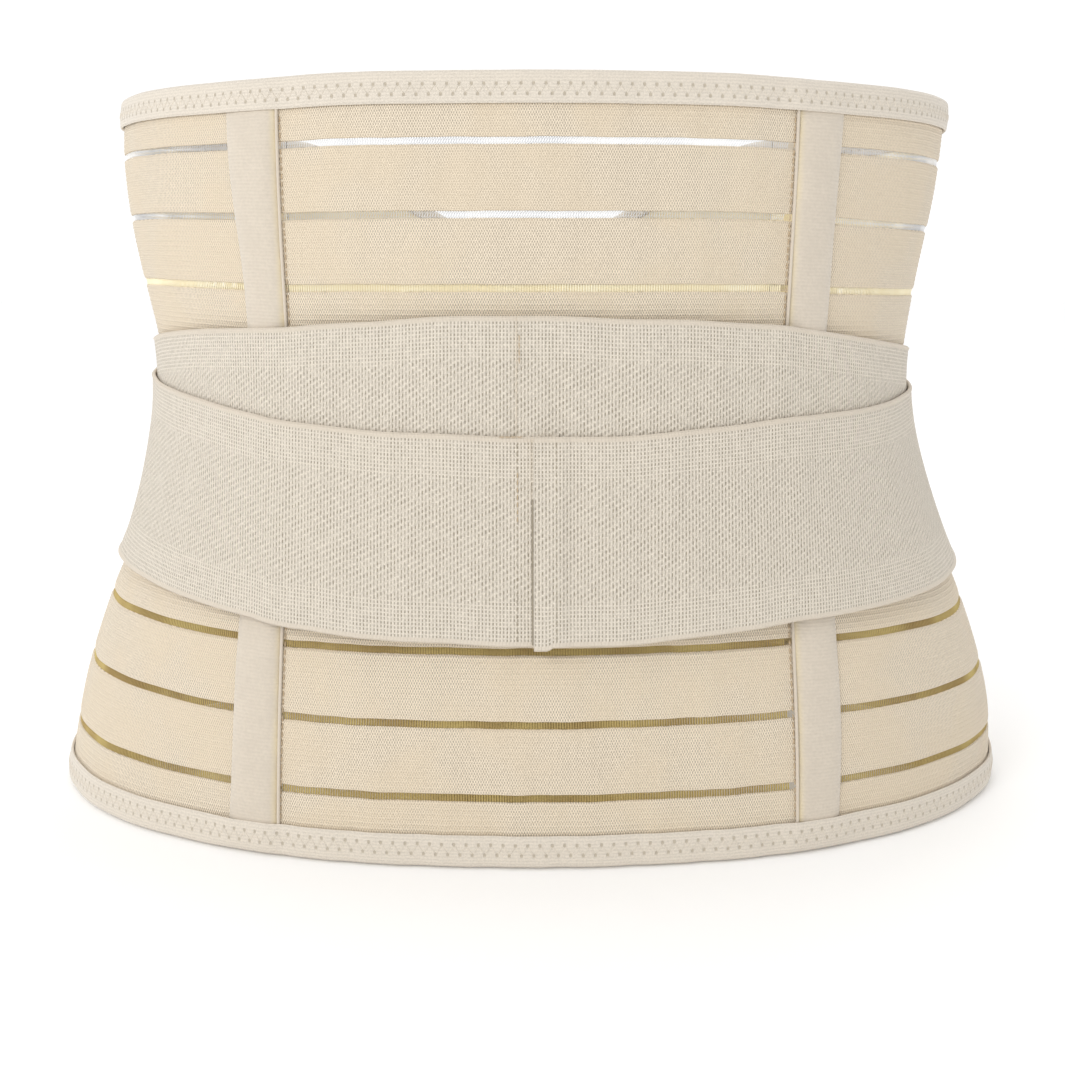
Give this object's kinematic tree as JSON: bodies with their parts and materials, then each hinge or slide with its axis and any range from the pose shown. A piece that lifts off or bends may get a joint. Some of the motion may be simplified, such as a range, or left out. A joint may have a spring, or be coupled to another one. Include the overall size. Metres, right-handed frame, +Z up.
{
  "type": "lumbar support belt",
  "caption": "Elastic lumbar support belt, closed as worn: slotted back and sides, two boned tapes, overlapping front panels, crossed straps ending in pull tabs.",
  "frame": {"origin": "middle of the bounding box in X and Y, on the surface that the belt's lower edge stands on", "axes": "+X to the wearer's right, across the widest size; +Y towards the front closure; +Z up"},
  "size_m": [0.3568, 0.2214, 0.25],
  "materials": {
    "elastic_band": "fine horizontal ribbed elastic weave, cream",
    "edge_binding": "smooth folded elastic binding with zigzag stitching",
    "bone_tape": "soft brushed tape",
    "spring_steel": "brushed flat steel",
    "strap_elastic": "open woven elastic webbing with smooth selvages",
    "panel_fabric": "brushed loop-faced laminate",
    "loop_fabric": "brushed loop pile",
    "hook_tape": "dense small hooks",
    "label_cloth": "plain woven satin label, blank"
  },
  "bodies": {
    "root": {"back_band_01": "elastic_band", "back_band_02": "elastic_band", "back_band_03": "elastic_band", "back_band_04": "elastic_band", "back_band_05": "elastic_band", "back_band_06": "elastic_band", "back_band_07": "elastic_band", "back_band_08": "elastic_band", "back_band_09": "elastic_band", "back_band_10": "elastic_band", "back_band_11": "elastic_band", "side_band_left_01": "elastic_band", "side_band_left_02": "elastic_band", "side_band_left_03": "elastic_band", "side_band_left_04": "elastic_band", "side_band_left_05": "elastic_band", "side_band_left_06": "elastic_band", "side_band_left_07": "elastic_band", "side_band_left_08": "elastic_band", "side_band_left_09": "elastic_band", "side_band_left_10": "elastic_band", "side_band_left_11": "elastic_band", "side_band_right_01": "elastic_band", "side_band_right_02": "elastic_band", "side_band_right_03": "elastic_band", "side_band_right_04": "elastic_band", "side_band_right_05": "elastic_band", "side_band_right_06": "elastic_band", "side_band_right_07": "elastic_band", "side_band_right_08": "elastic_band", "side_band_right_09": "elastic_band", "side_band_right_10": "elastic_band", "side_band_right_11": "elastic_band", "top_binding": "edge_binding", "bottom_binding": "edge_binding", "bone_casing_left": "bone_tape", "bone_casing_right": "bone_tape", "steel_bone_left": "spring_steel", "steel_bone_right": "spring_steel", "front_seam_tape_left": "bone_tape", "front_seam_tape_right": "bone_tape", "strap_upper_left": "strap_elastic", "strap_upper_right": "strap_elastic", "strap_lower_left": "strap_elastic", "strap_lower_right": "strap_elastic", "care_label": "label_cloth"},
    "outer_flap": {"front_panel_outer": "panel_fabric", "front_binding_outer": "edge_binding", "closure_hook_patch": "hook_tape", "strap_join_right": "strap_elastic"},
    "under_flap": {"front_panel_under": "panel_fabric", "front_binding_under": "edge_binding", "closure_loop_field": "loop_fabric", "strap_join_left": "strap_elastic"},
    "tab_right": {"pull_tab_right": "strap_elastic", "tab_hook_right": "hook_tape"},
    "tab_left": {"pull_tab_left": "strap_elastic", "tab_hook_left": "hook_tape"}
  },
  "joints": [
    {"name": "outer_flap_hinge", "type": "hinge", "parent": "root", "child": "outer_flap", "pos_m": [0.105, 0.09017, 0.121], "axis": [0, 0, -1], "range_deg": [0, 100]},
    {"name": "under_flap_hinge", "type": "hinge", "parent": "root", "child": "under_flap", "pos_m": [-0.105, 0.09017, 0.121], "axis": [0, 0, 1], "range_deg": [0, 42]},
    {"name": "tab_right_peel", "type": "hinge", "parent": "outer_flap", "child": "tab_right", "pos_m": [0.0901, 0.09562, 0.121], "axis": [0, 0, -1], "range_deg": [0, 60]},
    {"name": "tab_left_peel", "type": "hinge", "parent": "under_flap", "child": "tab_left", "pos_m": [-0.0901, 0.09562, 0.121], "axis": [0, 0, 1], "range_deg": [0, 60]}
  ],
  "couplings": [
    {"joint": "under_flap_hinge", "follows": "outer_flap_hinge", "ratio": 0.42}
  ]
}
